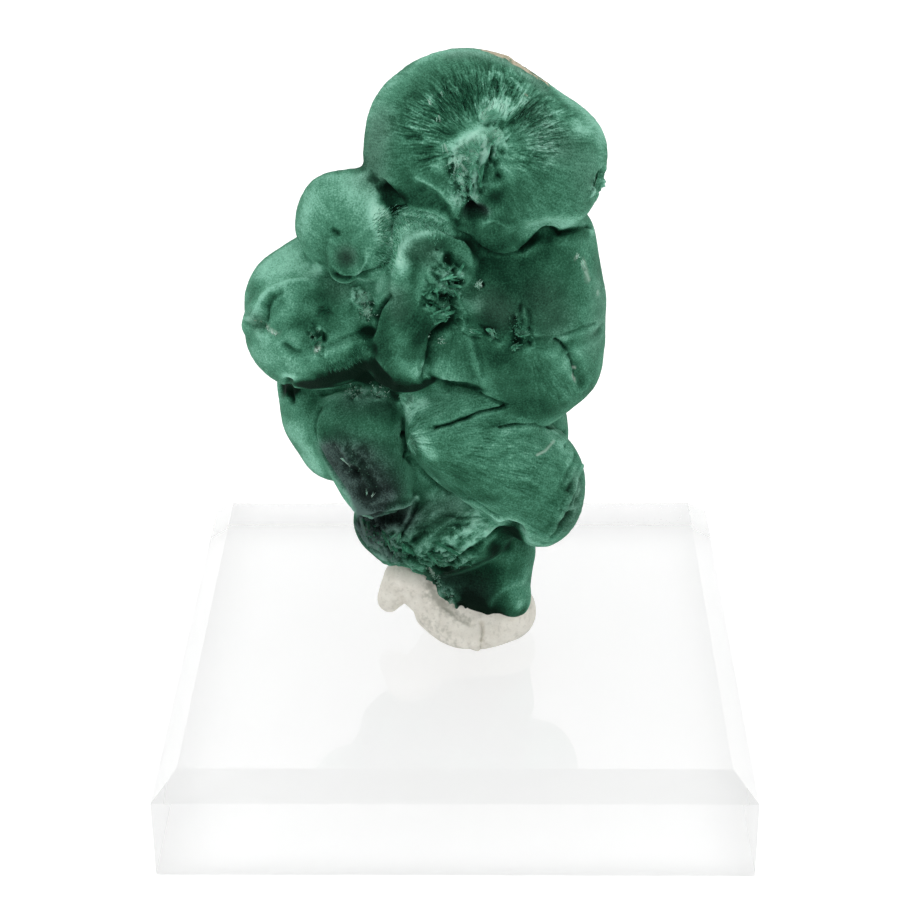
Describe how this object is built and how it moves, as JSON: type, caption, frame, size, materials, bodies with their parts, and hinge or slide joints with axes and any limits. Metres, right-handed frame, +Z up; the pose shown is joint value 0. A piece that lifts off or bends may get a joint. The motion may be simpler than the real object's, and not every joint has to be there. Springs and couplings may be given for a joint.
{
  "type": "malachite specimen",
  "caption": "Botryoidal cluster of fused velvety green malachite lobes, held upright by mineral putty on a clear bevelled acrylic block, for display.",
  "frame": {"origin": "middle of the acrylic block's underside, on the surface it stands on", "axes": "+Z up through the standing specimen; the specimen's show side faces -Y; X and Y run along the block's sides"},
  "size_m": [0.0508, 0.0508, 0.0642],
  "materials": {
    "malachite": "fibrous malachite with a silky, velvety skin; paler at the lobes' edges and fibre sprays, grey-green to near black on the caps and underside, tan matrix on the top edge and the scar behind",
    "mounting_putty": "matt off-white mineral tack with thumbed creases and a seam",
    "clear_acrylic": "clear cast acrylic, polished, IOR 1.49, with a polished chamfer round its top"
  },
  "bodies": {
    "root": {"malachite": "malachite", "mounting_putty": "mounting_putty", "acrylic_block": "clear_acrylic"}
  },
  "joints": []
}
